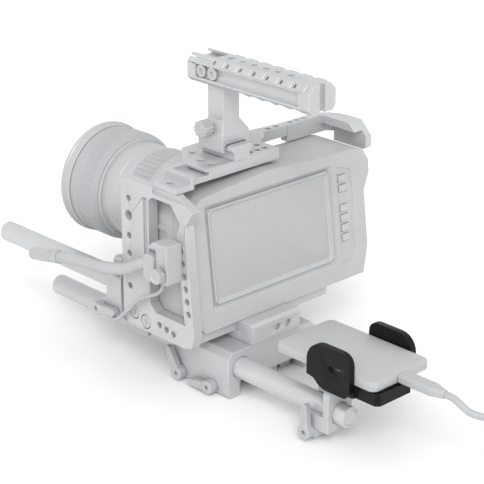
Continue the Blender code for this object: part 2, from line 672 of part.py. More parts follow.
def make_lens():
    axis = (0, LENS_Z)
    mount = [(19.0, MOUNT_Y), (31.0, MOUNT_Y), (31.0, MOUNT_Y + MOUNT_DEPTH),
             (19.0, MOUNT_Y + MOUNT_DEPTH)]
    part("lens_mount", "steel", turned("Y", axis, mount, 32))
    rear, front = LENS_REAR, LENS_FRONT
    wide = BARREL_RADIUS
    seat = wide - 2.6
    zoom = (rear + 19.7, rear + 39.7)
    focus = (front - 37.0, front - 8.4)
    barrel = [(18.6, rear), (wide - 1.5, rear), (wide, rear + 1.5), (wide, zoom[0]),
              (seat, zoom[0]), (seat, zoom[1]), (wide - 1.2, zoom[1]), (wide - 1.2, focus[0] - 3),
              (wide + 1, focus[0] - 2.6), (wide + 1, focus[0]), (seat + 1, focus[0]),
              (seat + 1, focus[1]), (FRONT_RADIUS - 0.9, focus[1]), (FRONT_RADIUS - 0.9, front - 3),
              (FRONT_RADIUS, front - 2.4), (FRONT_RADIUS, front - 0.6),
              (FRONT_RADIUS - 0.6, front), (FRONT_RADIUS - 3.4, front),
              (FRONT_RADIUS - 4.0, front - 6.4), (30.0, front - 6.4), (30.0, rear + 10),
              (20.6, rear + 10), (20.6, rear + 2.4), (18.6, rear + 2.4)]
    part("lens_barrel", "lens grey", turned("Y", axis, barrel, 40))
    ribs = rib_outline(axis, wide, wide - 0.9, ZOOM_RIBS)
    bore = cylinder("Y", axis, seat + RUNNING, zoom[0] - 1, zoom[1] + 1, 40)
    zoom_ring = prism("Y", ribs, zoom[0] + RUNNING, zoom[1] - RUNNING)
    part("zoom_ring", "rubber", zoom_ring, cut=(bore,), origin=(0, zoom[0], LENS_Z))
    ring = [(wide + 1, focus[0] + RUNNING), (FRONT_RADIUS - 1.8, focus[0] + 4),
            (FRONT_RADIUS - 1.8, focus[0] + 6), (FRONT_RADIUS - 1.4, focus[0] + 6.5),
            (FRONT_RADIUS - 1.4, focus[0] + 18), (FRONT_RADIUS - 1.8, focus[0] + 18.5),
            (FRONT_RADIUS - 1.6, focus[1] - RUNNING), (seat + 1 + RUNNING, focus[1] - RUNNING),
            (seat + 1 + RUNNING, focus[0] + RUNNING)]
    part("focus_ring", "rubber", turned("Y", axis, ring, 40), origin=(0, focus[0], LENS_Z))
    glass = FRONT_RADIUS - 4.0 - GAP
    back = front - 6.4 + GAP
    dome = [(0, back), (glass, back), (glass, back + 2.2), (glass * 0.7, back + 4.0),
            (glass * 0.35, back + 4.9), (0, back + 5.2)]
    part("front_lens", "glass", turned("Y", axis, dome, 32))


def rib_outline(centre, outer, inner, count):
    """A round outline with evenly spaced square ribs."""
    points = []
    for rib in range(count):
        for share, radius in ((0.0, inner), (0.15, outer), (0.6, outer), (0.75, inner)):
            angle = 2 * math.pi * (rib + share) / count
            points.append((centre[0] + radius * math.cos(angle),
                           centre[1] + radius * math.sin(angle)))
    return points


# ==================================== cage =====================================

def make_left_plate():
    """Side plate: a front column, a rear column along the tilted back and a rail below."""
    low = FLOOR_BOTTOM
    top = CAGE_TOP_BOTTOM - GAP
    outline = [(46, low), (52, low + 6), (52, top - 1.5), (50, top), (-2, top), (-6, top - 2),
               (-19, low + 98), (-12, low + 87), (-19.5, low + 11), (-17, low + 2), (-10, low)]
    opening = [(19, low + 17), (24, low + 22), (24, low + 96), (20, low + 99), (2, low + 99),
               (-7, low + 88), (-4, low + 80), (-10.5, low + 17)]
    plate = prism("X", outline, CAGE_LEFT, CAGE_RIGHT_OF_SIDE)
    window = prism("X", opening, CAGE_LEFT - 1, CAGE_RIGHT_OF_SIDE + 1)
    step = box((CAGE_LEFT - 1, CAGE_LEFT + 2.5), (-30, 20), (low + 101.5, top + 1))
    groove = box((CAGE_LEFT - 1, CAGE_LEFT + 2.0), (25.5, 29.5), (low + 42, low + 97))
    through = (CAGE_LEFT - 1, CAGE_RIGHT_OF_SIDE + 1)
    small = cylinders("X", column_holes(low) + rail_holes(low), THREAD_HOLE, *through)
    large = cylinders("X", [(44.5, low + 80)], BIG_HOLE, *through)
    seats = cylinders("X", side_screws(), 5.2, CAGE_LEFT - 1, CAGE_LEFT + 3.4, sides=20)
    shanks = cylinders("X", side_screws(), 2.4, *through)
    part("cage_left_plate", "cage grey", plate,
         cut=(window, step, groove, small, large, seats, shanks))


def column_holes(low):
    """(y, z) of the threaded holes in the front and rear columns."""
    front = [(44.5, low + height) for height in (29, 40, 52.5, 65.5, 92.3)]
    rear = [(-14.4 + 6.6 * step / 5, low + 26 + 43.4 * step / 5) for step in range(6)]
    return front + rear


def rail_holes(low):
    return [(15.0 - 7.0 * step, low + 9.0 - 1.2 * step) for step in range(3)]


def side_screws():
    """(y, z) of the two large screws that hold the side plate to the floor."""
    return [(41.0, FLOOR_BOTTOM + 10.6), (29.0, FLOOR_BOTTOM + 7.0)]


def make_cage_floor():
    y0, y1 = CAGE_FLOOR_Y
    left = CAGE_RIGHT_OF_SIDE + GAP
    right = CAGE_FLOOR_RIGHT
    outline = [(left, y0), (right - 8, y0), (right, y0 + 8), (right, y1 - 8), (right - 8, y1),
               (left, y1)]
    holes = cylinders("Z", [(x, y) for x in (-44, -34, 42, 52) for y in (4, 28)], 3.2,
                      FLOOR_BOTTOM - 1, FLOOR_TOP + 1)
    part("cage_bottom_plate", "cage grey", prism("Z", outline, FLOOR_BOTTOM, FLOOR_TOP),
         cut=(holes,))


def top_outline():
    """The cage's top plate from above."""
    left = CAGE_LEFT + 2.5
    return [(left, -1), (left + 16, -1), (-44, 5), (36, 5), (36, 24), (46, 30), (52, 37),
            (LOOP_RIGHT - 48.8, 37), (LOOP_RIGHT - 48.8, 44), (46, 47), (34, 53), (-13, 51),
            (-31, 30), (-50, 26), (left, 21)]


def shoe_slot(x, y_range, top, axis_y=True):
    """T-shaped slot of a standard accessory shoe, open at one end."""
    wide = box((x - 9.4, x + 9.4), y_range, (top - 4.0, top - 1.8))
    neck = box((x - 6.4, x + 6.4), y_range, (top - 2.0, top + 1))
    return wide, neck


def make_top_plate():
    top, bottom = CAGE_TOP, CAGE_TOP_BOTTOM
    plate = prism("Z", top_outline(), bottom, top)
    ledge = box((CAGE_LEFT - 1, -51), (-10, 40), (top - 4.5, top + 1))
    wide, neck = shoe_slot(-39.0, (0, 24), top)
    grid = cylinders("Z", [(x, y) for x in (14.5, 21.5, 28.5) for y in (12, 20, 28, 36, 44)],
                     THREAD_HOLE, bottom - 1, top + 1)
    ends = cylinders("Z", [(-22, 12), (-22, 22), (-14.5, 38), (60, 40.5), (68, 40.5), (-58, 12)],
                     THREAD_HOLE, bottom - 1, top + 1)
    part("cage_top_plate", "cage grey", plate, cut=(ledge, wide, neck, grid, ends))


def make_grip_loop():
    """Bar in front of the grip that turns back along its outer side, with a top flange."""
    start = LOOP_RIGHT - 48.8 + GAP
    right = LOOP_RIGHT
    inner = right - LOOP_THICK
    outline = [(start, 37), (inner - 4, 37), (inner, 33), (inner, 0), (right, 0), (right, 26),
               (right - 2, 32), (right - 6, 38), (right - 13, 44), (start, 44)]
    low = CAGE_TOP - 13
    drop = box((inner, right), (0, 32), (CAGE_TOP - LOOP_DEPTH, low + 1))
    flange = box((inner - 8, inner + 1), (0, 38), (CAGE_TOP - 6, CAGE_TOP))
    slope = prism("X", [(-1, CAGE_TOP - LOOP_SLOPE), (LOOP_SLOPE, CAGE_TOP + 1),
                        (-1, CAGE_TOP + 1)], inner - 9, right + 1)
    heel = prism("X", [(-1, CAGE_TOP - LOOP_DEPTH - 1), (-1, CAGE_TOP - LOOP_DEPTH + 3),
                       (4, CAGE_TOP - LOOP_DEPTH - 1)], inner - 1, right + 1)
    holes = cylinders("Z", [(start + 6 + 7 * step, 40.5) for step in range(3)], THREAD_HOLE,
                      low - 1, CAGE_TOP + 1)
    part("cage_grip_loop", "cage grey", prism("Z", outline, low, CAGE_TOP), add=(drop, flange),
         cut=(slope, heel, holes))


def make_cage_screws():
    """The side plate's two large screws."""
    for name, centre in zip(("cage_screw_front", "cage_screw_rear"), side_screws()):
        profile = [(0, CAGE_LEFT + 1.2), (1.6, CAGE_LEFT + 1.2), (1.6, CAGE_LEFT + 0.2),
                   (4.6, CAGE_LEFT + 0.2), (4.6, CAGE_LEFT + 3.1), (2.1, CAGE_LEFT + 3.1),
                   (2.1, CAGE_RIGHT_OF_SIDE), (0, CAGE_RIGHT_OF_SIDE)]
        part(name, "steel", turned("X", centre, profile, 20))


# ================================== top handle ==================================

def rail_profile(grow=0.0, drop=0.0):
    """Dovetail rail from the front; grow widens it for the clamp's channel."""
    half = RAIL_WIDTH / 2 + grow
    base = RAIL_BOTTOM - drop
    return mirrored_x([(half - 2.6, base), (half - 2.6, RAIL_BOTTOM + 4.4 - grow),
                       (half, RAIL_BOTTOM + 7.0 - grow), (half, RAIL_BOTTOM + 8.6),
                       (half - 1.4, RAIL_BOTTOM + 10.0 + grow)])


def make_rail():
    notches = joined([box((-20, 20), (RAIL_Y[0] + 6 + 9 * step, RAIL_Y[0] + 9 + 9 * step),
                          (RAIL_BOTTOM + 8.2, RAIL_BOTTOM + 12)) for step in range(5)])
    part("nato_rail", "cage grey", prism("Y", rail_profile(), *RAIL_Y), cut=(notches,))


def foot_range():
    return POST_Y - FOOT_DEPTH / 2, POST_Y + FOOT_DEPTH / 2


def make_handle_post():
    half = HANDLE_WIDTH / 2
    low = RAIL_BOTTOM + 5.2
    shoulder = RAIL_BOTTOM + 17.5
    top = HANDLE_BOTTOM - GAP
    post = POST_SIZE / 2
    neck = shoulder + 8
    foot = prism("Y", mirrored_x([(half, low), (half, shoulder), (post, neck)]), *foot_range())
    front_cut = prism("X", [(POST_Y + post, neck + 1), (POST_Y + 13, neck + 1),
                            (POST_Y + 13, shoulder), (POST_Y + FOOT_DEPTH / 2, shoulder),
                            (POST_Y + post, neck)][::-1], -half - 1, half + 1)
    rear_cut = prism("X", [(POST_Y - post, neck + 1), (POST_Y - 13, neck + 1),
                           (POST_Y - 13, shoulder), (POST_Y - FOOT_DEPTH / 2, shoulder),
                           (POST_Y - post, neck)], -half - 1, half + 1)
    column = box((-post, post), (POST_Y - post, POST_Y + post), (shoulder, top))
    channel = prism("Y", rail_profile(RUNNING, 3), POST_Y - 20, POST_Y + 20)
    knob_bore = cylinder("X", knob_centre(), 2.2, -half - 2, 0)
    part("handle_post", "cage grey", foot, add=(column,),
         cut=(front_cut, rear_cut, channel, knob_bore), origin=(0, POST_Y, low))


def knob_centre():
    return POST_Y + 1.5, RAIL_BOTTOM + 20.5


def make_handle_knob():
    half = HANDLE_WIDTH / 2
    grip = rib_outline(knob_centre(), 6.0, 5.3, 12)
    body = prism("X", grip, -half - GAP - 8, -half - GAP)
    shaft = cylinder("X", knob_centre(), 1.9, -half - 4, -1, 12)
    part("handle_knob", "steel", body, add=(shaft,),
         origin=(-half - GAP, knob_centre()[0], knob_centre()[1]))


def handle_screw_places():
    return [(32.0, HANDLE_BOTTOM + 9.0), (21.5, HANDLE_BOTTOM + 9.0)]


def make_handle_bar():
    half = HANDLE_WIDTH / 2
    low, high = HANDLE_BOTTOM, HANDLE_TOP
    y0, y1 = HANDLE_Y
    profile = mirrored_x([(half - 3, low), (half, low + 3), (half, high - 5), (half - 5, high)])
    bar = prism("Y", profile, y0, y1)
    pockets = joined([box(span, (y0 + 10, y1 - 8), (low + 4.4, high - 5.6))
                      for span in ((-half - 1, -half + 2.6), (half - 2.6, half + 1))])
    pitch = 12.4
    teeth = joined([moved(box((-1.4, 1.4), (-1.0, 1.0), (-8, 8)),
                          Matrix.Translation(Vector((side * (half - 1.2), y1 - 24 - pitch * step,
                                                     high - 1.2)) * MM)
                          @ Matrix.Rotation(side * math.radians(45), 4, "Y"))
                    for side in (-1, 1) for step in range(7)])
    scallops = cylinders("X", [(y1 - 50 - pitch * step, low - 9.0) for step in range(5)], 10.4,
                         -half - 1, half + 1, sides=32)
    wide, neck = shoe_slot(0, (y1 - 22, y1 + 1), high)
    holes = cylinders("Z", [(0, y1 - 30 - 11 * step) for step in range(6)], THREAD_HOLE,
                      high - 7, high + 1)
    tail = box((-2.6, 2.6), (y0 - 1, y0 + 3), (low - 1, high + 1))
    bolts = cylinders("X", handle_screw_places(), 2.4, -half, 4)
    part("handle_bar", "cage grey", bar,
         cut=(pockets, teeth, scallops, wide, neck, holes, tail, bolts),
         origin=(0, POST_Y, low))


def make_handle_screws():
    """Two socket screws in the handle's side pocket."""
    face = -HANDLE_WIDTH / 2 + 2.6 - GAP
    names = ("handle_screw_front", "handle_screw_rear")
    for name, centre in zip(names, handle_screw_places()):
        profile = [(0, face - 0.8), (1.7, face - 0.8), (1.7, face - 2.0), (4.4, face - 2.0),
                   (4.4, face), (2.1, face), (2.1, 3), (0, 3)]
        part(name, "steel", turned("X", centre, profile, 20))


# ========================== rod clamps on the near side ==========================

def make_front_clamp():
    """Block under the side rod with a hook over the near rod and an ear for the lever."""
    x, z = -ROD_X, ROD_Z
    sx, sz = SIDE_ROD_X, SIDE_ROD_Z
    wall = ROD_BORE + 1.5
    low = sz - 25.5
    face = sx - FRONT_CLAMP_HALF
    outline = [(x + 11, z - 3), (x + 11, z + 11), (x + 4, z + 17), (sx + 11, sz - 16),
               (sx + 11, sz + 3), (sx + 5, sz + wall), (sx - 8, sz + wall), (face, sz + 7),
               (face, low + 4), (face + 4, low), (x - 13, low), (x - 9.6, z + 9), (x - 9.6, z - 3)]
    y0, y1 = FRONT_CLAMP_Y
    y, lever_z = front_lever_pivot()
    ear = prism("X", [(y1 - 1, lever_z - 5), (y + 3, lever_z - 5), (y + 5, lever_z - 3),
                      (y + 5, lever_z + 3), (y + 3, lever_z + 5), (y1 - 1, lever_z + 8)],
                face, face + 7)
    holes = cylinders("Y", [(x, z), (sx, sz)], ROD_BORE, y0 - 1, y1 + 1, sides=32)
    lever_bore = cylinder("X", (y, lever_z), LEVER_BORE + GAP, face - 1, face + 8, 12)
    knob_bore = cylinder("Z", side_knob_centre(), 2.3, sz + 6.7, sz + 12, 12)
    part("front_clamp", "cage grey", prism("Y", outline[::-1], y0, y1), add=(ear,),
         cut=(holes, lever_bore, knob_bore))


def front_lever_pivot():
    return FRONT_CLAMP_Y[1] + 5.0, SIDE_ROD_Z - 19.8


def side_knob_centre():
    return SIDE_ROD_X - 6.1, FRONT_CLAMP_Y[0] + 3.6


def make_front_lever():
    """Lever on the front clamp's ear."""
    face = SIDE_ROD_X - FRONT_CLAMP_HALF
    make_clamp_lever("front_clamp_lever", -1, front_lever_pivot(), face, face + 6,
                     math.radians(173))


def make_side_knob():
    """Thumb screw on the front clamp that holds the side rod."""
    x, y = side_knob_centre()
    low = SIDE_ROD_Z + 7.0
    head = SIDE_ROD_Z + ROD_BORE + 1.5 + GAP
    profile = [(0, low), (2.0, low), (2.0, head), (4.4, head), (5.0, head + 1), (5.0, head + 10),
               (4.0, head + 12.5), (0, head + 13.4)]
    part("side_clamp_knob", "steel", turned("Z", (x, y), profile, 20), origin=(x, y, head))


# ================================= drive holder ==================================

def drive_edges():
    width, length, _ = DRIVE_SIZE
    return DRIVE_X - width / 2, DRIVE_X + width / 2, DRIVE_Y - length / 2, DRIVE_Y + length / 2


def make_carriage():
    """Rod clamp that carries the drive's tray, with ears for its lever."""
    x, z = -ROD_X, ROD_Z
    y0, y1 = CARRIAGE_Y
    top = TRAY_BOTTOM - GAP
    outline = [(x - 11.4, z - 12), (x - 1, z - 11), (x + 6, z - 9), (x + 11, z - 4),
               (x + 11, z + 11), (x + 16, top), (x - 8, top), (x - 11.4, top - 4)]
    y, lever_z = carriage_lever_pivot()
    ears = box((x - 11.4, x + 7), (y - 4.6, y1), (lever_z - 4.4, z - 8))
    bore = cylinder("Y", (x, z), ROD_BORE, y0 - 1, y1 + 1, 32)
    open_side = box((x - 13, x + 2), (y0 + 5, y1 + 1), (z - 1.5, top + 1))
    slit = box((x - 1, x + 1), (y0 - 1, y1 + 1), (z - 20, z))
    shaft = cylinder("X", (y, lever_z), LEVER_BORE + GAP, x - 13, x + 4.6, 12)
    part("drive_carriage", "cage grey", prism("Y", outline, y0, y1), add=(ears,),
         cut=(bore, open_side, slit, shaft), origin=(x, y1, z))
    make_clamp_lever("drive_clamp_lever", -1, (y, lever_z), x - 11.4, x + 3, math.radians(90))


def carriage_lever_pivot():
    return CARRIAGE_Y[1] - 6.0, ROD_Z - 14.0


def arc(centre, radius, start, end, steps=5):
    """Points on a circular arc, angles in degrees."""
    angles = [math.radians(start + (end - start) * step / steps) for step in range(steps + 1)]
    return [(centre[0] + radius * math.cos(angle), centre[1] + radius * math.sin(angle))
            for angle in angles]


def jaw_range():
    rear = drive_edges()[2]
    return rear + JAW_Y[0], rear + JAW_Y[1]


def make_tray():
    """Tray under the drive with its fixed jaw and a tunnel for the sliding jaw."""
    x0, _, y0, _ = drive_edges()
    top, low = TRAY_TOP, TRAY_BOTTOM
    rear, front = jaw_range()
    wall = x0 - GAP
    tray = prism("Z", chamfered((x0 + 1, x0 + 1 + TRAY_WIDTH), (y0 - TRAY_BEHIND, front - 4), 2.5),
                 low, top)
    jaw_top = top + FIXED_JAW_HEIGHT
    jaw_outline = ([(rear + 4, low), (front - 17, low)]
                   + arc((front - 17, low + 12), 12, -90, -40, 4)
                   + [(front - 6, low + 5.6), (front, low + 6.6)]
                   + arc((front - 13, jaw_top - 13), 13, 6, 90, 6)
                   + arc((rear + 8, jaw_top - 8), 8, 90, 180) + [(rear, low + 4)])
    jaw = prism("X", jaw_outline, wall - FIXED_JAW_THICK, wall)
    web = box((wall - 1, x0 + 2), (rear, front - 17), (low, top))
    slot_y = (rear + 6.5, rear + 18.0)
    window = prism("X", chamfered(slot_y, (top + 6, top + 10), 1.5), wall - 6, wall + 1)
    middle = (rear + front) / 2
    tunnel = box((x0 + 8, x0 + 2 + TRAY_WIDTH), (middle - 8.4, middle + 8.4), (low + 2.6, low + 5.8))
    part("drive_tray", "black", tray, add=(jaw, web), cut=(window, tunnel))


def make_sliding_jaw():
    """Jaw on the drive's far side, drawn in by a tongue in the tray's tunnel."""
    x0, x1, y0, y1 = drive_edges()
    rear, front = jaw_range()
    top, low = TRAY_TOP, TRAY_BOTTOM
    middle = (rear + front) / 2
    wall = x1 + GAP
    jaw_top = top + SLIDING_JAW_HEIGHT
    outline = ([(rear, low), (front, low)] + arc((front - 7, jaw_top - 7), 7, 0, 90)
               + arc((rear + 12, jaw_top - 12), 12, 90, 180, 6))
    jaw = prism("X", outline, wall, wall + SLIDING_JAW_THICK)
    tongue = box((x0 + 14, wall + 1), (middle - 8, middle + 8), (low + 3.0, low + 5.4))
    part("drive_sliding_jaw", "black", jaw, add=(tongue,), origin=(wall, middle, low))


def make_drive():
    x0, x1, y0, y1 = drive_edges()
    case = prism("Z", chamfered((x0, x1), (y0, y1), 3), DRIVE_BOTTOM, DRIVE_BOTTOM + DRIVE_SIZE[2])
    port = box((DRIVE_X - 4.8, DRIVE_X + 4.8), (y0 - 1, y0 + 6.3),
               (DRIVE_MIDDLE - 1.6, DRIVE_MIDDLE + 1.6))
    part("drive", "camera grey", case, cut=(port,))


def make_drive_plug():
    """Plug in the drive's rear port, tapering to where the cable starts."""
    y0 = drive_edges()[2]
    x, z = DRIVE_X, DRIVE_MIDDLE
    half_width, half_height = PLUG_SIZE[0] / 2, PLUG_SIZE[1] / 2
    shell = chamfered((x - half_width, x + half_width), (z - half_height, z + half_height), 1.4)
    neck = chamfered((x - 2.6, x + 2.6), (z - 2.6, z + 2.6), 1.5)
    end = y0 - PLUG_LENGTH
    body = prism("Y", shell, end, y0 - GAP)
    relief = prism("Y", shell, end + 0.5, end - RELIEF_LENGTH, neck)
    tongue = box((x - 4.4, x + 4.4), (y0 - 1, y0 + 6), (z - 1.3, z + 1.3))
    part("drive_plug", "rubber", body, add=(relief, tongue))


# ==================================== cables =====================================

def make_drive_cable():
    """From the drive's plug down to a coil on the floor behind the rig."""
    start = drive_edges()[2] - PLUG_LENGTH - RELIEF_LENGTH - GAP
    floor = DRIVE_CABLE / 2
    route = [(DRIVE_X, start, DRIVE_MIDDLE), (-11.3, -194.0, 53.0), (-10.9, -200.0, 50.2),
             (-9.4, -206.0, 46.8), (-6.0, -213.0, 45.4), (0.0, -220.5, 43.6), (8.5, -229.0, 38.5),
             (18.0, -237.5, 28.5), (29.0, -246.5, 16.5), (40.5, -256.0, 7.4), (53.0, -265.0, 3.2),
             (66.5, -272.6, floor), (74.0, -275.9, floor)]
    cord("drive_cable", "rubber", DRIVE_CABLE, route, (0, -1, 0), (0.93, -0.37, 0), spacing=2.4)
    inner = COIL_RADIUS - DRIVE_CABLE * 1.1
    outer = COIL_RADIUS + DRIVE_CABLE * 1.1
    centre = (96.4, -251.5)
    ring = [(inner, 0.0), (outer, 0.0), (outer, 2 * DRIVE_CABLE), (inner, 2 * DRIVE_CABLE)]
    part("drive_cable_coil", "rubber", turned("Z", centre, ring, 32))


CLAMP_KNOB = (-3.4, 96.5)


def make_cable_clamp():
    """Clamp block on the cage's side with the video plug's pocket."""
    face = CAGE_LEFT - GAP
    outline = [(-9, 90), (7, 90), (10, 93), (10, 112), (5, 117), (-9, 117)]
    block = prism("X", outline, face - 13, face)
    pocket = box((face - 14, face - 3), (2, 20), (88, 112))
    hole = cylinder("X", CLAMP_KNOB, 2.3, face - 14, face + 1, 12)
    part("cable_clamp", "camera grey", block, cut=(pocket, hole))
    grip = rib_outline(CLAMP_KNOB, 5.2, 4.6, 10)
    body = prism("X", grip, face - 13 - GAP - 6, face - 13 - GAP)
    shaft = cylinder("X", CLAMP_KNOB, 2.0, face - 17, face - 1, 12)
    part("clamp_knob", "steel", body, add=(shaft,), origin=(face - 13, *CLAMP_KNOB))


def make_video_cable():
    """Right-angle plug in the clamp, the cable and the connector at its far end."""
    x = CAGE_LEFT - GAP - 9.5
    head = prism("X", chamfered((2.6, 13), (89, 108), 2.5), x - 5, x + 6)
    part("video_plug", "rubber", head)
    route = [(x, 13.0 + GAP, 98.5), (x, 17, 98.2), (x, 25, 94), (x, 38, 87.2), (x - 0.4, 60, 82),
             (x - 0.4, 76, 80.2), (x - 0.2, 92, 78.4), (x, 108.5, 75.0)]
    aim = (Vector(route[-1]) - Vector(route[-2])).normalized()
    cord("video_cable", "rubber", VIDEO_CABLE, route, (0, 1, 0), aim, spacing=2.2, resolution=3)
    end = route[-1]
    turn = Matrix.Translation(Vector(end) * MM) @ aim.to_track_quat("Y", "Z").to_matrix().to_4x4()
    body = turned("Y", (0, 0), [(0, GAP), (4.2, GAP), (4.6, 5), (4.6, 29), (3.8, 32.4),
                                (0, 33)], 20)
    part("video_connector", "steel", body, frame=turn)


def make_thin_lead():
    """Thin lead from the cage's side down to the front clamp."""
    x = CAGE_LEFT - 10
    face = SIDE_ROD_X - FRONT_CLAMP_HALF - GAP
    route = [(x + 3, 1, 89.7), (x + 3, 2.5, 84), (x + 3.6, 8, 78), (x + 4.5, 17, 73), (x + 4.5, 29, 67),
             (x + 4.5, 40, 56), (x + 5, 49, 47.5), (x + 7, 56, 42.4), (face - 4, 63, 39.2),
             (face, 66.5, 38.6)]
    cord("thin_lead", "rubber", THIN_LEAD, route, (0, 0, -1), (1, 0, 0), spacing=2.6)


def main():
    clear_scene()
    make_baseplate()
    make_base_levers()
    make_rods()
    make_release_plate()
    make_front_shell()
    make_rear_cover()
    make_display()
    make_rear_buttons()
    make_record_button()
    make_front_dial()
    make_doors()
    make_camera_insides()
    make_lens()
    make_left_plate()
    make_cage_floor()
    make_top_plate()
    make_grip_loop()
    make_cage_screws()
    make_rail()
    make_handle_post()
    make_handle_knob()
    make_handle_bar()
    make_handle_screws()
    make_front_clamp()
    make_front_lever()
    make_side_knob()
    make_carriage()
    make_tray()
    make_sliding_jaw()
    make_drive()
    make_drive_plug()
    make_drive_cable()
    make_cable_clamp()
    make_video_cable()
    make_thin_lead()


main()
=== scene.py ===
"""Looks for the camera rig: camera, cords, finishes, turned and knurled pieces, light."""

import json
import math

import bmesh
import bpy
from mathutils import Matrix, Vector


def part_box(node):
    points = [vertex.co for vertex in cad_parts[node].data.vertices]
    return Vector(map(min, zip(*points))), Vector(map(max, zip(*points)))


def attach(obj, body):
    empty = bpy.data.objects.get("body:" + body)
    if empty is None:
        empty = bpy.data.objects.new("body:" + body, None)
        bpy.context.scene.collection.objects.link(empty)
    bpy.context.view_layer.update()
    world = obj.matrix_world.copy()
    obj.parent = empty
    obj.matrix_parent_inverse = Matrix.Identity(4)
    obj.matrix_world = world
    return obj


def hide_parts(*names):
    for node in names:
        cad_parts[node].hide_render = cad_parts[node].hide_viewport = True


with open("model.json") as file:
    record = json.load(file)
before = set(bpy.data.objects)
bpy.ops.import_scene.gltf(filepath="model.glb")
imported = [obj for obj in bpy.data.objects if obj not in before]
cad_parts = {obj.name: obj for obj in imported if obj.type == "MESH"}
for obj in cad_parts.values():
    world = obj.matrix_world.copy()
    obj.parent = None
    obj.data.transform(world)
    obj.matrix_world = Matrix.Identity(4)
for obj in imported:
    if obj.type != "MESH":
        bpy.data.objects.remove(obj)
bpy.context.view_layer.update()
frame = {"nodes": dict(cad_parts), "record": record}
scene = bpy.context.scene
NODES = frame["nodes"]
MM = 0.001


def cad_span(node):
    """The low and high corners of a CAD piece's box, in millimetres."""
    return [Vector(corner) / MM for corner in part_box(node)]


# ================================== camera ==================================

def make_camera():
    data = bpy.data.cameras.new("studio_camera")
    data.lens = 124.7
    data.sensor_width = 36
    data.clip_end = 50
    camera = bpy.data.objects.new("studio_camera", data)
    scene.collection.objects.link(camera)
    right = Vector((0.72142612, -0.69248923, 0.00173656))
    up = Vector((0.25557011, 0.26857855, 0.92873542))
    back = -Vector((0.64360568, 0.66957018, -0.37073913))
    place = Matrix((right, up, back)).transposed().to_4x4()
    place.translation = Vector((-0.7390, -0.76435, 0.52093))
    camera.matrix_world = place
    scene.camera = camera


# ================================= finishes =================================

MOTTLE_SCALE = 38.0
WEAR_HIGHLIGHT_SCALE = 260.0
WEAR_HIGHLIGHT_RADIUS = 0.9
ROUGH_SWING = 0.08


def mix_colour(nodes, links, factor, first, second):
    mix = nodes.new("ShaderNodeMix")
    mix.data_type = "RGBA"
    for value, socket in ((factor, mix.inputs[0]), (first, mix.inputs[6]), (second, mix.inputs[7])):
        if isinstance(value, bpy.types.NodeSocket):
            links.new(value, socket)
        else:
            socket.default_value = value
    return mix.outputs[2]


def span(nodes, links, source, low, high, start=0.3, end=0.7):
    ranged = nodes.new("ShaderNodeMapRange")
    links.new(source, ranged.inputs["Value"])
    ranged.inputs["From Min"].default_value = start
    ranged.inputs["From Max"].default_value = end
    ranged.inputs["To Min"].default_value = low
    ranged.inputs["To Max"].default_value = high
    return ranged.outputs["Result"]


def noise(nodes, links, place, scale, detail=3.0):
    texture = nodes.new("ShaderNodeTexNoise")
    texture.inputs["Scale"].default_value = scale
    texture.inputs["Detail"].default_value = detail
    links.new(place, texture.inputs["Vector"])
    return texture.outputs["Fac"]


def new_material(name):
    """A material with its nodes, links and shader, and the object's own coordinates."""
    material = bpy.data.materials.new(name)
    material.use_nodes = True
    nodes, links = material.node_tree.nodes, material.node_tree.links
    place = nodes.new("ShaderNodeTexCoord").outputs["Object"]
    return material, nodes, links, nodes["Principled BSDF"], place


def bump_from(nodes, links, height, shader, depth, strength=1.0):
    """Relief on the shader's normal, its depth in millimetres."""
    bump = nodes.new("ShaderNodeBump")
    bump.inputs["Strength"].default_value = strength
    bump.inputs["Distance"].default_value = depth * MM
    links.new(height, bump.inputs["Height"])
    links.new(bump.outputs["Normal"], shader.inputs["Normal"])


def edge_wear_and_highlight(nodes, links, place):
    """Nearly 1 on edges and 0 on flat faces, in patches: a mask for edge wear and for a painted
    highlight on the edges.
    """
    bevel = nodes.new("ShaderNodeBevel")
    bevel.samples = 4
    bevel.inputs["Radius"].default_value = WEAR_HIGHLIGHT_RADIUS * MM
    shape = nodes.new("ShaderNodeNewGeometry")
    facing = nodes.new("ShaderNodeVectorMath")
    facing.operation = "DOT_PRODUCT"
    links.new(bevel.outputs["Normal"], facing.inputs[0])
    links.new(shape.outputs["Normal"], facing.inputs[1])
    # Edge mask from the bevelled normal: it marks edge wear and also a painted highlight on every
    # edge.
    edge = span(nodes, links, facing.outputs["Value"], 1.0, 0.0, 0.80, 0.965)
    patchy = span(nodes, links, noise(nodes, links, place, WEAR_HIGHLIGHT_SCALE, 4.0), 0.25, 1.0)
    wear_highlight = nodes.new("ShaderNodeMath")
    wear_highlight.operation = "MULTIPLY"
    links.new(edge, wear_highlight.inputs[0])
    links.new(patchy, wear_highlight.inputs[1])
    return wear_highlight.outputs[0]


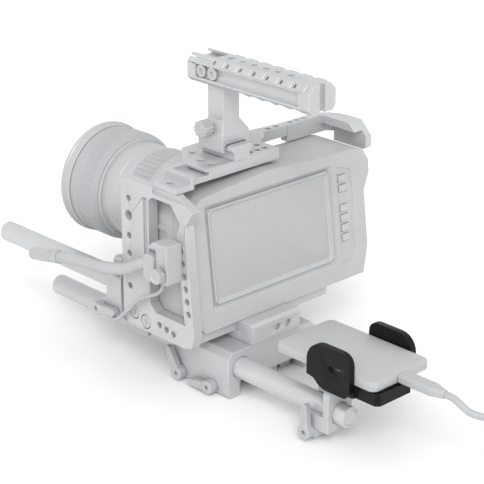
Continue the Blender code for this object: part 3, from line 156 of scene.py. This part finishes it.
def finish(name, colour, rough, metal, grain, depth, mottle, wear_and_highlight, sheen=0.0, gloss=0.5):
    """A painted, moulded, turned or rubber surface: grain, mottling, uneven gloss, and lighter
    edges that are partly wear and partly a painted highlight.
    """
    material, nodes, links, shader, place = new_material(name)
    broad = noise(nodes, links, place, MOTTLE_SCALE, 4.0)
    fine = noise(nodes, links, place, grain, 2.0)
    base = (*colour, 1.0)
    dark = (*[c * (1 - mottle) for c in colour], 1.0)
    light = (*[min(1.0, c * (1 + mottle)) for c in colour], 1.0)
    tone = mix_colour(nodes, links, span(nodes, links, broad, 0.0, 1.0), dark, light)
    speck = span(nodes, links, fine, 0.0, 0.35, 0.45, 0.75)
    tone = mix_colour(nodes, links, speck, tone, base)
    if wear_and_highlight:
        # Lighter colour on the edges: partly wear, partly a painted highlight on the chamfers.
        wear_highlight_tone = (*[min(1.0, c + wear_and_highlight) for c in colour], 1.0)
        tone = mix_colour(nodes, links, edge_wear_and_highlight(nodes, links, place), tone, wear_highlight_tone)
    links.new(tone, shader.inputs["Base Color"])
    links.new(span(nodes, links, broad, rough - ROUGH_SWING, rough + ROUGH_SWING),
              shader.inputs["Roughness"])
    bump_from(nodes, links, fine, shader, depth, 0.45)
    shader.inputs["Metallic"].default_value = metal
    shader.inputs["Sheen Weight"].default_value = sheen
    shader.inputs["Specular IOR Level"].default_value = gloss
    return material


def glass_finish(name, colour, rough, tint, coat=0.8):
    """Coated glass: fine smears in the gloss and a cloudy tint from the coating."""
    material, nodes, links, shader, place = new_material(name)
    smear = noise(nodes, links, place, 55.0, 5.0)
    cloud = noise(nodes, links, place, 18.0, 2.0)
    share = span(nodes, links, cloud, 0.0, 0.3)
    tone = mix_colour(nodes, links, share, (*colour, 1), (*tint, 1))
    links.new(tone, shader.inputs["Base Color"])
    links.new(span(nodes, links, smear, rough * 0.6, rough * 1.7), shader.inputs["Roughness"])
    bump_from(nodes, links, smear, shader, 0.02, 0.05)
    shader.inputs["Coat Weight"].default_value = coat
    shader.inputs["Coat Roughness"].default_value = 0.04
    return material


def board_finish(name):
    """Solder mask with rows of copper pads."""
    material, nodes, links, shader, place = new_material(name)
    bricks = nodes.new("ShaderNodeTexBrick")
    bricks.inputs["Scale"].default_value = 260.0
    bricks.inputs["Color1"].default_value = (0.03, 0.14, 0.06, 1)
    bricks.inputs["Color2"].default_value = (0.05, 0.19, 0.08, 1)
    bricks.inputs["Mortar"].default_value = (0.30, 0.25, 0.10, 1)
    bricks.inputs["Mortar Size"].default_value = 0.01
    links.new(place, bricks.inputs["Vector"])
    links.new(bricks.outputs["Color"], shader.inputs["Base Color"])
    links.new(span(nodes, links, noise(nodes, links, place, 300.0), 0.25, 0.45),
              shader.inputs["Roughness"])
    bump_from(nodes, links, bricks.outputs["Fac"], shader, 0.05)
    return material


# Colour, roughness, metal, grain scale, grain depth in millimetres, mottling and edge lightening
# (edge wear with a painted highlight).
FINISH = {
    "camera_shell": finish("camera_shell", (0.44, 0.45, 0.455), 0.52, 0.0, 3200, 0.05, 0.04, 0.16),
    "cage_metal": finish("cage_metal", (0.50, 0.51, 0.52), 0.42, 0.25, 5200, 0.03, 0.04, 0.24),
    "lever_metal": finish("lever_metal", (0.45, 0.46, 0.47), 0.40, 0.25, 4200, 0.03, 0.05, 0.24),
    "rod_metal": finish("rod_metal", (0.53, 0.54, 0.55), 0.32, 0.30, 3600, 0.008, 0.03, 0.0),
    "steel": finish("steel", (0.47, 0.475, 0.48), 0.34, 0.35, 4200, 0.01, 0.05, 0.20),
    "lens_shell": finish("lens_shell", (0.44, 0.45, 0.455), 0.38, 0.10, 5200, 0.02, 0.03, 0.20),
    "ring_rubber": finish("ring_rubber", (0.38, 0.39, 0.40), 0.66, 0.0, 3600, 0.05, 0.05, 0.10,
                          sheen=0.15),
    "button_rubber": finish("button_rubber", (0.46, 0.47, 0.475), 0.62, 0.0, 3600, 0.05, 0.05,
                            0.10, sheen=0.1),
    "black_metal": finish("black_metal", (0.004, 0.004, 0.0044), 0.38, 0.0, 3800, 0.04, 0.12,
                          0.02, gloss=0.2),
    "dark_plastic": finish("dark_plastic", (0.06, 0.06, 0.065), 0.5, 0.0, 3000, 0.05, 0.1, 0.05),
    "screen_glass": glass_finish("screen_glass", (0.42, 0.42, 0.42), 0.36, (0.45, 0.45, 0.45), 0.0),
    "lens_glass": glass_finish("lens_glass", (0.016, 0.017, 0.022), 0.04, (0.10, 0.06, 0.13)),
    "circuit_board": board_finish("circuit_board"),
    "cable_jacket": finish("cable_jacket", (0.42, 0.43, 0.44), 0.5, 0.0, 5200, 0.05, 0.05, 0.0),
}
SLOT_OF = {piece["node"]: piece["material_slot"] for piece in frame["record"]["subparts"]}


# ================================ CAD pieces ================================

def edge_group(name, limit):
    """Geometry nodes that join doubled points and shade smooth up to an angle."""
    group = bpy.data.node_groups.new(name, "GeometryNodeTree")
    group.interface.new_socket("Geometry", in_out="INPUT", socket_type="NodeSocketGeometry")
    group.interface.new_socket("Geometry", in_out="OUTPUT", socket_type="NodeSocketGeometry")
    nodes, links = group.nodes, group.links
    start, end = nodes.new("NodeGroupInput"), nodes.new("NodeGroupOutput")
    clean = nodes.new("GeometryNodeRemoveAttribute")
    clean.inputs["Name"].default_value = "custom_normal"
    merge = nodes.new("GeometryNodeMergeByDistance")
    merge.inputs["Distance"].default_value = 0.00002
    faces = nodes.new("GeometryNodeSetShadeSmooth")
    edges = nodes.new("GeometryNodeSetShadeSmooth")
    edges.domain = "EDGE"
    edges.inputs["Shade Smooth"].default_value = False
    angle = nodes.new("GeometryNodeInputMeshEdgeAngle")
    sharp = nodes.new("FunctionNodeCompare")
    sharp.data_type = "FLOAT"
    sharp.operation = "GREATER_THAN"
    sharp.inputs["B"].default_value = limit
    links.new(start.outputs[0], clean.inputs["Geometry"])
    links.new(clean.outputs["Geometry"], merge.inputs["Geometry"])
    links.new(merge.outputs["Geometry"], faces.inputs["Geometry"])
    links.new(faces.outputs["Geometry"], edges.inputs["Geometry"])
    links.new(angle.outputs["Unsigned Angle"], sharp.inputs["A"])
    links.new(sharp.outputs["Result"], edges.inputs["Selection"])
    links.new(edges.outputs["Geometry"], end.inputs[0])
    return group


CAD_EDGE = 0.35
GLASS_EDGE = 0.3
JOIN = edge_group("join_points", math.radians(25))
SHADE = edge_group("shade_by_angle", math.radians(38))


def dress(thing, material, width):
    """The finish and small rounded edges on a CAD piece, whose mesh stays as it is."""
    thing.data.materials.clear()
    thing.data.materials.append(material)
    first = thing.modifiers.new("join", "NODES")
    first.node_group = JOIN
    if width:
        bevel = thing.modifiers.new("edges", "BEVEL")
        bevel.width = width * MM
        bevel.segments = 2
        bevel.limit_method = "ANGLE"
        bevel.angle_limit = math.radians(28)
        bevel.use_clamp_overlap = False
        bevel.miter_outer = "MITER_ARC"
    last = thing.modifiers.new("shade", "NODES")
    last.node_group = SHADE


def dress_cad():
    for node, thing in NODES.items():
        width = GLASS_EDGE if node == "display_glass" else CAD_EDGE
        dress(thing, FINISH[SLOT_OF[node]], 0.0 if thing.hide_render else width)


# ============================= meshes and pieces =============================

def add_piece(name, mesh, slot, body, smooth=35):
    thing = bpy.data.objects.new(name, mesh)
    scene.collection.objects.link(thing)
    mesh.materials.append(FINISH[slot])
    for face in mesh.polygons:
        face.use_smooth = True
    mesh.set_sharp_from_angle(angle=math.radians(smooth))
    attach(thing, body)
    return thing


def ring_faces(rings, count, closed=True):
    """Faces between neighbouring rings of count points, and from the last to the first."""
    faces = []
    for ring in range(rings if closed else rings - 1):
        follow = (ring + 1) % rings
        for index in range(count):
            after = (index + 1) % count
            faces.append((ring * count + index, ring * count + after, follow * count + after,
                          follow * count + index))
    return faces


def solid_mesh(name, points, faces):
    """A mesh with its doubled points joined and its faces turned outwards."""
    mesh = bpy.data.meshes.new(name)
    mesh.from_pydata(points, [], faces)
    work = bmesh.new()
    work.from_mesh(mesh)
    bmesh.ops.remove_doubles(work, verts=work.verts, dist=1e-6)
    bmesh.ops.recalc_face_normals(work, faces=work.faces)
    work.to_mesh(mesh)
    work.free()
    return mesh


def lathe(name, slot, body, axis, centre, profile, sides=96, ribs=None, smooth=35, place=None):
    """A turned ring or knob. The profile runs (radius, along). Ribs are (count, depth, first,
    last, share): grooves between two points of the profile, a rib filling share of the pitch."""
    points = []
    for side in range(sides):
        angle = 2 * math.pi * side / sides
        for index, (radius, along) in enumerate(profile):
            if ribs:
                count, depth, first, last, share = ribs
                turn = angle * count / (2 * math.pi) % 1.0
                radius -= depth if first <= index <= last and turn >= share else 0.0
            u, v = radius * math.cos(angle), radius * math.sin(angle)
            point = {"X": (along, centre[0] + u, centre[1] + v),
                     "Y": (centre[0] + v, along, centre[1] + u),
                     "Z": (centre[0] + u, centre[1] + v, along)}[axis]
            points.append(Vector(point) * MM)
    if place is not None:
        points = [place @ point for point in points]
    mesh = solid_mesh(name, points, ring_faces(sides, len(profile)))
    return add_piece(name, mesh, slot, body, smooth)


def rounded(width, height, radius, steps=5):
    outline = []
    for x, y, start in ((width / 2 - radius, height / 2 - radius, 0),
                        (radius - width / 2, height / 2 - radius, 90),
                        (radius - width / 2, radius - height / 2, 180),
                        (width / 2 - radius, radius - height / 2, 270)):
        for step in range(steps + 1):
            angle = math.radians(start + 90 * step / steps)
            outline.append((x + radius * math.cos(angle), y + radius * math.sin(angle)))
    return outline


def slab(name, slot, body, width, height, radius, layers, place, steps=5, smooth=35):
    """A rounded block: layers are (inset, level) from bottom to top, in the plane of place."""
    points = []
    for inset, level in layers:
        outline = rounded(width - 2 * inset, height - 2 * inset, max(0.05, radius - inset), steps)
        points += [place @ (Vector((x, y, level)) * MM) for x, y in outline]
    count = len(outline)
    faces = ring_faces(len(layers), count, closed=False)
    faces.append(tuple(reversed(range(count))))
    faces.append(tuple(range(len(points) - count, len(points))))
    return add_piece(name, solid_mesh(name, points, faces), slot, body, smooth)


def chamfered_outline(width, height, cut):
    """An eight-sided outline, anticlockwise."""
    x, y = width / 2, height / 2
    return [(x, cut - y), (x, y - cut), (x - cut, y), (cut - x, y), (-x, y - cut), (-x, cut - y),
            (cut - x, -y), (x - cut, -y)]


# =================================== cords ===================================

def smooth_route(points, spacing):
    """Points at an even spacing on a smooth curve through the route's points."""
    knots = [Vector(point) for point in points]
    knots = [2 * knots[0] - knots[1]] + knots + [2 * knots[-1] - knots[-2]]
    dense = []
    for index in range(1, len(knots) - 2):
        before, start, end, after = knots[index - 1:index + 3]
        for step in range(40):
            t = step / 40
            dense.append(0.5 * (2 * start + (end - before) * t
                                + (2 * before - 5 * start + 4 * end - after) * t ** 2
                                + (3 * start - before - 3 * end + after) * t ** 3))
    dense.append(knots[-2])
    lengths = [0.0]
    for first, second in zip(dense, dense[1:]):
        lengths.append(lengths[-1] + (second - first).length)
    count = max(2, round(lengths[-1] / spacing))
    result = []
    place = 0
    for index in range(count + 1):
        target = lengths[-1] * index / count
        while place < len(lengths) - 2 and lengths[place + 1] < target:
            place += 1
        share = (target - lengths[place]) / (lengths[place + 1] - lengths[place])
        result.append(dense[place].lerp(dense[place + 1], share))
    return result


def run_length(points):
    return sum((b - a).length for a, b in zip(points, points[1:]))


def tube(name, points, diameter, body):
    curve = bpy.data.curves.new(name, "CURVE")
    curve.dimensions = "3D"
    curve.bevel_depth = diameter / 2 * MM
    curve.bevel_resolution = 6
    curve.use_fill_caps = True
    spline = curve.splines.new("POLY")
    spline.points.add(len(points) - 1)
    for place, point in zip(spline.points, points):
        place.co = (*(Vector(point) * MM), 1.0)
    spline.use_smooth = True
    curve.materials.append(FINISH["cable_jacket"])
    thing = bpy.data.objects.new(name, curve)
    scene.collection.objects.link(thing)
    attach(thing, body)
    return thing


def blend_step(t, start, end):
    t = min(1.0, max(0.0, (t - start) / (end - start)))
    return t * t * (3 - 2 * t)


DRIVE_CABLE = 4.6
DRIVE_LENGTH = 750.0
VIDEO_CABLE = 8.4
THIN_LEAD = 2.6
COIL_CENTRE = (96.4, -251.5)
COIL_INNER = 22.55
COIL_OUTER = 27.4
COIL_STEPS = 36


def coil_point(t):
    """Four turns, two wide and two high; t counts turns from the ring's -Y side."""
    inwards = blend_step(t, 0.7, 1.0) - blend_step(t, 2.7, 3.0)
    radius = COIL_OUTER - (COIL_OUTER - COIL_INNER) * inwards - 2.2 * blend_step(t, 3.5, 3.8)
    level = DRIVE_CABLE / 2 + 4.65 * blend_step(t, 1.72, 1.98) + 4.9 * blend_step(t, 3.52, 3.8)
    angle = 2 * math.pi * t - math.pi / 2
    return Vector((COIL_CENTRE[0] + radius * math.cos(angle),
                   COIL_CENTRE[1] + radius * math.sin(angle), level))


def make_drive_cord():
    route = [(-11.3, -188.2, 53.1), (-11.3, -194.0, 53.0), (-10.9, -200.0, 50.2),
             (-9.4, -206.0, 46.8), (-6.0, -213.0, 45.4), (0.0, -220.5, 43.6), (8.5, -229.0, 38.5),
             (18.0, -237.5, 28.5), (29.0, -246.5, 16.5), (40.5, -256.0, 7.4),
             (53.0, -265.0, 3.2), (66.5, -272.6, 2.3), (74.0, -275.9, 2.3), (83.0, -278.2, 2.3)]
    coil = [coil_point(step / COIL_STEPS) for step in range(5 * COIL_STEPS)]
    points = smooth_route(route + [coil[0]], 3.2)
    for point in coil[1:]:
        left = DRIVE_LENGTH - run_length(points)
        reach = (point - points[-1]).length
        if reach >= left:
            points.append(points[-1].lerp(point, left / reach))
            break
        points.append(point)
    cord = tube("drive_cord", points, DRIVE_CABLE, "drive_holder")
    heading = (points[-1] - points[-2]).normalized()
    heading.z = 0
    turn = heading.to_track_quat("Z", "Y").to_matrix().to_4x4()
    place = Matrix.Translation(points[-1] * MM) @ turn
    plug = slab("far_plug", "cable_jacket", "drive_holder", 5.6, 10.4, 1.8,
                [(1.2, 6.5), (0.0, 8.0), (0.0, 27.0), (0.8, 28.0)], place)
    tip = slab("far_plug_tip", "steel", "drive_holder", 2.6, 8.4, 1.25,
               [(0.0, 27.8), (0.0, 34.2), (0.3, 34.6)], place)
    taper = lathe("far_relief", "cable_jacket", "drive_holder", "Z", (0, 0),
                  [(2.32, -8), (3.2, -7), (3.0, -6.2), (3.2, -5.4), (3.0, -4.6), (3.3, -3.8),
                   (3.1, -3.0), (3.5, -2.2), (3.3, -1.4), (3.4, 7.4), (2.0, 7.4), (2.0, -8)],
                  24, place=place)
    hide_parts("drive_cable", "drive_cable_coil")


def make_video_cord():
    x = -76.8
    route = [(x, 13.3, 98.5), (x, 17, 98.2), (x, 25, 94), (x, 38, 87.2), (x - 0.4, 60, 82),
             (x - 0.4, 76, 80.2), (x - 0.2, 92, 78.4), (x, 108.5, 75.0)]
    points = smooth_route(route, 4.0)
    cord = tube("video_cord", points, VIDEO_CABLE, "rig")
    end_point = Vector(route[-1])
    aim = (end_point - Vector(route[-2])).normalized()
    place = (Matrix.Translation(end_point * MM)
             @ aim.to_track_quat("Y", "Z").to_matrix().to_4x4())
    profile = [(2.0, 0.3), (4.5, 0.3), (4.9, 1.2), (4.9, 9.0), (4.55, 9.6), (4.55, 12.0),
               (4.7, 12.6), (4.7, 28.0), (4.3, 29.0), (4.3, 32.2), (3.9, 33.0), (3.0, 33.0),
               (3.0, 26.0), (2.0, 26.0)]
    end = lathe("video_end", "steel", "rig", "Y", (0, 0), profile, 96,
                ribs=(24, 0.35, 6, 7, 0.6), place=place)
    pin = lathe("video_end_pin", "steel", "rig", "Y", (0, 0),
                [(0.0, 25.0), (0.6, 25.0), (0.6, 31.5), (0.3, 32.0), (0.0, 32.0)], 16, place=place)
    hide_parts("video_connector")
    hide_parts("video_cable")


def make_thin_cord():
    route = [(-74, 1, 89.7), (-74, 2.5, 84), (-73.4, 8, 78), (-72.5, 17, 73), (-72.5, 29, 67),
             (-72.5, 40, 56), (-72, 49, 47.5), (-70, 56, 42.4), (-67.3, 63, 39.2),
             (-63.3, 66.5, 38.6)]
    points = smooth_route(route, 2.5)
    cord = tube("thin_cord", points, THIN_LEAD, "rig")
    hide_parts("thin_lead")


# =================================== lens ====================================

def make_lens():
    low, high = cad_span("lens_barrel")
    axis = (0.0, (low.z + high.z) / 2)
    front, rear = high.y, low.y
    wide, lip = 36.0, 41.3
    seat = wide - 2.6
    zoom = (rear + 19.7, rear + 39.7)
    focus = (front - 37.0, front - 8.4)
    make_barrel(axis, front, rear, wide, lip, seat, zoom, focus)
    make_lens_rings(axis, wide, lip, seat, zoom, focus)
    make_front_element(axis, front, lip)


def make_barrel(axis, front, rear, wide, lip, seat, zoom, focus):
    """The fixed barrel, with its two ring seats, its grooves and the filter thread."""
    profile = [(18.6, rear), (wide - 1.5, rear), (wide - 0.3, rear + 0.5), (wide, rear + 1.5),
               (wide, rear + 6.0), (wide - 0.35, rear + 6.3), (wide - 0.35, rear + 7.1),
               (wide, rear + 7.4), (wide, zoom[0] - 0.3), (wide - 0.3, zoom[0]),
               (seat, zoom[0]), (seat, zoom[1]), (wide - 1.5, zoom[1]),
               (wide - 1.2, zoom[1] + 0.4), (wide - 1.2, zoom[1] + 9), (wide - 1.5, zoom[1] + 9.3),
               (wide - 1.5, zoom[1] + 10), (wide - 1.2, zoom[1] + 10.3),
               (wide - 1.2, focus[0] - 3.2), (wide - 0.6, focus[0] - 3.0),
               (wide + 1, focus[0] - 2.5), (wide + 1, focus[0] - 0.4), (wide + 0.6, focus[0]),
               (seat + 1, focus[0]), (seat + 1, focus[1]), (lip - 1.2, focus[1]),
               (lip - 0.9, focus[1] + 0.4), (lip - 0.9, focus[1] + 2.2),
               (lip - 1.3, focus[1] + 2.5), (lip - 1.3, focus[1] + 3.3),
               (lip - 0.9, focus[1] + 3.6), (lip - 0.9, front - 3.1), (lip - 0.3, front - 2.6),
               (lip, front - 2.2), (lip, front - 0.7), (lip - 0.2, front - 0.2),
               (lip - 0.6, front), (lip - 3.2, front), (lip - 3.4, front - 0.4)]
    for thread in range(5):
        level = front - 0.9 - thread * 1.0
        profile += [(lip - 3.9, level), (lip - 3.5, level - 0.5)]
    profile += [(lip - 4.0, front - 6.4), (30.0, front - 6.4), (30.0, rear + 10),
                (20.6, rear + 10), (20.6, rear + 2.4), (18.6, rear + 2.4)]
    barrel = lathe("barrel", "lens_shell", "rig", "Y", axis, profile, 180, smooth=30)
    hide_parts("lens_barrel")


def make_lens_rings(axis, wide, lip, seat, zoom, focus):
    """The ribbed zoom ring and the finely toothed focus ring, each in its seat."""
    ribs, teeth = 56, 110
    bore = seat + 0.4
    profile = [(bore, zoom[0] + 0.4), (wide - 0.9, zoom[0] + 0.4), (wide - 0.3, zoom[0] + 0.9),
               (wide - 0.3, zoom[0] + 1.9), (wide, zoom[0] + 2.4), (wide, zoom[1] - 2.4),
               (wide - 0.3, zoom[1] - 1.9), (wide - 0.3, zoom[1] - 0.9),
               (wide - 0.9, zoom[1] - 0.4), (bore, zoom[1] - 0.4)]
    ring = lathe("zoom_grip", "ring_rubber", "zoom_ring", "Y", axis, profile, ribs * 6,
                 ribs=(ribs, 0.9, 4, 5, 0.66), smooth=30)
    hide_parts("zoom_ring")

    outer = lip - 1.4
    start, end = focus[0] + 0.4, focus[1] - 0.4
    bore = seat + 1.4
    profile = [(bore, start), (wide + 1, start), (outer - 0.4, start + 3.6),
               (outer - 0.4, start + 5.2), (outer, start + 5.6), (outer, start + 17.6),
               (outer - 0.4, start + 18.0), (outer - 0.4, start + 19.6), (outer - 0.8, start + 20),
               (outer - 0.8, start + 20.8), (outer - 0.3, start + 21.2), (outer - 0.3, end - 0.5),
               (outer - 0.8, end), (bore, end)]
    ring = lathe("focus_grip", "ring_rubber", "focus_ring", "Y", axis, profile, teeth * 4,
                 ribs=(teeth, 0.6, 4, 5, 0.5), smooth=30)
    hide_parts("focus_ring")


def make_front_element(axis, front, lip):
    """The domed front lens."""
    glass = lip - 4.3
    back = front - 6.1
    dome = [(0, back), (glass, back), (glass, back + 1.9), (glass - 0.4, back + 2.3)]
    for step in range(1, 13):
        share = 1 - step / 12
        dome.append((glass * 0.985 * share, back + 5.2 - 2.85 * share ** 2))
    lens = lathe("front_element", "lens_glass", "rig", "Y", axis, dome, 96, smooth=40)
    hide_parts("front_lens")


# =================================== rods ====================================

def make_rods():
    """Tubular rods with turned ends, a threaded front bore and a closed rear end."""
    for name, node, body in (("near_rail_rod", "near_rod", "rig"),
                             ("far_rail_rod", "far_rod", "far_rod"),
                             ("side_rail_rod", "side_rod", "rig")):
        ends = cad_span(node)
        centre = (ends[0] + ends[1]) / 2
        low, high = ends[0].y, ends[1].y
        profile = [(0.0, low + 14), (0.0, low + 0.3), (5.4, low + 0.3), (5.7, low + 0.6),
                   (5.9, low + 0.1), (6.8, low), (7.3, low + 0.3), (7.5, low + 0.9),
                   (7.5, high - 0.9), (7.3, high - 0.3), (6.8, high), (5.0, high),
                   (4.5, high - 0.6)]
        for thread in range(8):
            level = high - 1.4 - thread * 1.5
            profile += [(4.9, level), (4.5, level - 0.75)]
        profile.append((4.5, low + 14))
        rod = lathe(name, "rod_metal", body, "Y", (centre.x, centre.z), profile, 72, smooth=30)
        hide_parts(node)


# ================================ small pieces ===============================

def make_knob():
    """The cable clamp's knurled knob and its shaft."""
    low, high = cad_span("clamp_knob")
    centre = ((low.y + high.y) / 2, (low.z + high.z) / 2)
    knurls = 20
    profile = [(0.0, -80.6), (4.3, -80.6), (5.2, -81.3), (5.2, -86.0), (4.5, -86.6),
               (3.2, -86.6), (3.0, -86.2), (0.0, -86.2)]
    knob = lathe("side_knob", "steel", "clamp_knob", "X", centre, profile, knurls * 6,
                 ribs=(knurls, 0.6, 2, 3, 0.55))
    shaft = lathe("side_knob_shaft", "steel", "clamp_knob", "X", centre,
                  [(0.0, -68.3), (2.0, -68.3), (2.0, -80.8), (0.0, -80.8)], 24)
    shaft.parent = knob
    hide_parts("clamp_knob")


SCREEN_CENTRE = (17.6, -7.0, 98.0)
SCREEN_TILT = 7.2
# Width, height, corner cut and level of each ring of the frame round the screen.
SCREEN_FRAME = [(115.4, 66.4, 3.0, 0.0), (115.4, 66.4, 3.0, 1.4), (114.6, 65.6, 2.9, 1.8),
                (113.6, 64.6, 2.6, 1.8), (108.6, 59.8, 0.5, 0.05), (108.6, 59.8, 0.5, 0.0)]


def make_screen():
    """The frame round the screen and the active area inside it."""
    plane = (Matrix.Translation(Vector(SCREEN_CENTRE) * MM)
             @ Matrix.Rotation(math.radians(90 - SCREEN_TILT), 4, "X"))
    slab("screen_active", "screen_glass", "rig", 109.0, 60.6, 0.8,
         [(0.0, -0.2), (0.0, 0.10), (0.15, 0.18)], plane, 4)
    points = []
    for width, height, cut, level in SCREEN_FRAME:
        outline = chamfered_outline(width, height, cut)
        points += [plane @ (Vector((x, y, level)) * MM) for x, y in outline]
    mesh = solid_mesh("screen_frame", points, ring_faces(len(SCREEN_FRAME), len(outline)))
    add_piece("screen_frame", mesh, "camera_shell", "rig", 20)


def make_handle_ridges():
    """Raised grip pads along both upper edges of the handle, between its notches."""
    low, high = cad_span("handle_bar")
    half = (high.x - low.x) / 2
    for side, word in ((-1, "near"), (1, "far")):
        for step in range(7):
            level = high.y - 30.2 - 12.4 * step
            place = (Matrix.Translation(Vector((side * (half - 2.5), level, high.z - 2.5)) * MM)
                     @ Matrix.Rotation(side * math.radians(45), 4, "Y"))
            slab(f"handle_pad_{word}_{step + 1}", "cage_metal", "top_handle", 6.6, 9.0, 0.9,
                 [(0.0, -0.4), (0.1, 0.5), (0.5, 1.0), (1.1, 1.2)], place, 3)


def make_drive():
    """The drive's shell, rounded at its corners and along its edges, with a seam round it."""
    low, high = cad_span("drive")
    middle = (low + high) / 2
    size = high - low
    place = Matrix.Translation(Vector((middle.x, middle.y, low.z)) * MM)
    seam = size.z * 0.42
    shell = slab("drive_shell", "camera_shell", "drive_holder", size.x, size.y, 5.0,
                 [(1.1, 0.0), (0.35, 0.35), (0.0, 1.1), (0.0, seam - 0.15), (0.25, seam - 0.1),
                  (0.25, seam + 0.1), (0.0, seam + 0.15), (0.0, size.z - 1.1),
                  (0.35, size.z - 0.35), (1.1, size.z)], place, 8, 45)
    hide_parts("drive")


# =================================== stage ===================================

FLOOR_REACH = 60
FLOOR_GAP = 0.2
SKY_STRENGTH = 0.95


def make_floor():
    reach = FLOOR_REACH
    mesh = bpy.data.meshes.new("floor")
    corners = [(-reach, -reach, 0), (reach, -reach, 0), (reach, reach, 0), (-reach, reach, 0)]
    mesh.from_pydata(corners, [], [(0, 1, 2, 3)])
    floor = bpy.data.objects.new("floor", mesh)
    floor.location = (0, 0, -FLOOR_GAP * MM)
    scene.collection.objects.link(floor)
    material, nodes, links, shader, place = new_material("floor")
    tone = mix_colour(nodes, links, noise(nodes, links, place, 3.0), (0.90, 0.90, 0.90, 1),
                      (0.93, 0.93, 0.93, 1))
    links.new(tone, shader.inputs["Base Color"])
    shader.inputs["Roughness"].default_value = 0.9
    mesh.materials.append(material)


def make_light():
    """A white sky and two soft suns: name, strength, size in degrees and direction."""
    world = bpy.data.worlds.new("studio")
    world.use_nodes = True
    sky = world.node_tree.nodes["Background"]
    sky.inputs["Color"].default_value = (1, 1, 1, 1)
    sky.inputs["Strength"].default_value = SKY_STRENGTH
    scene.world = world
    for name, energy, size, aim in (("key", 1.35, 25, (0.50, 0.58, -0.64)),
                                    ("fill", 0.3, 60, (0.80, 0.10, -0.45))):
        light = bpy.data.lights.new(name, "SUN")
        light.energy = energy
        light.angle = math.radians(size)
        lamp = bpy.data.objects.new(name, light)
        lamp.rotation_euler = Vector(aim).to_track_quat("-Z", "Y").to_euler()
        scene.collection.objects.link(lamp)
    scene.view_settings.view_transform = "Standard"


make_camera()
make_drive_cord()
make_video_cord()
make_thin_cord()
make_lens()
make_rods()
make_knob()
make_screen()
make_handle_ridges()
make_drive()
dress_cad()
make_floor()
make_light()
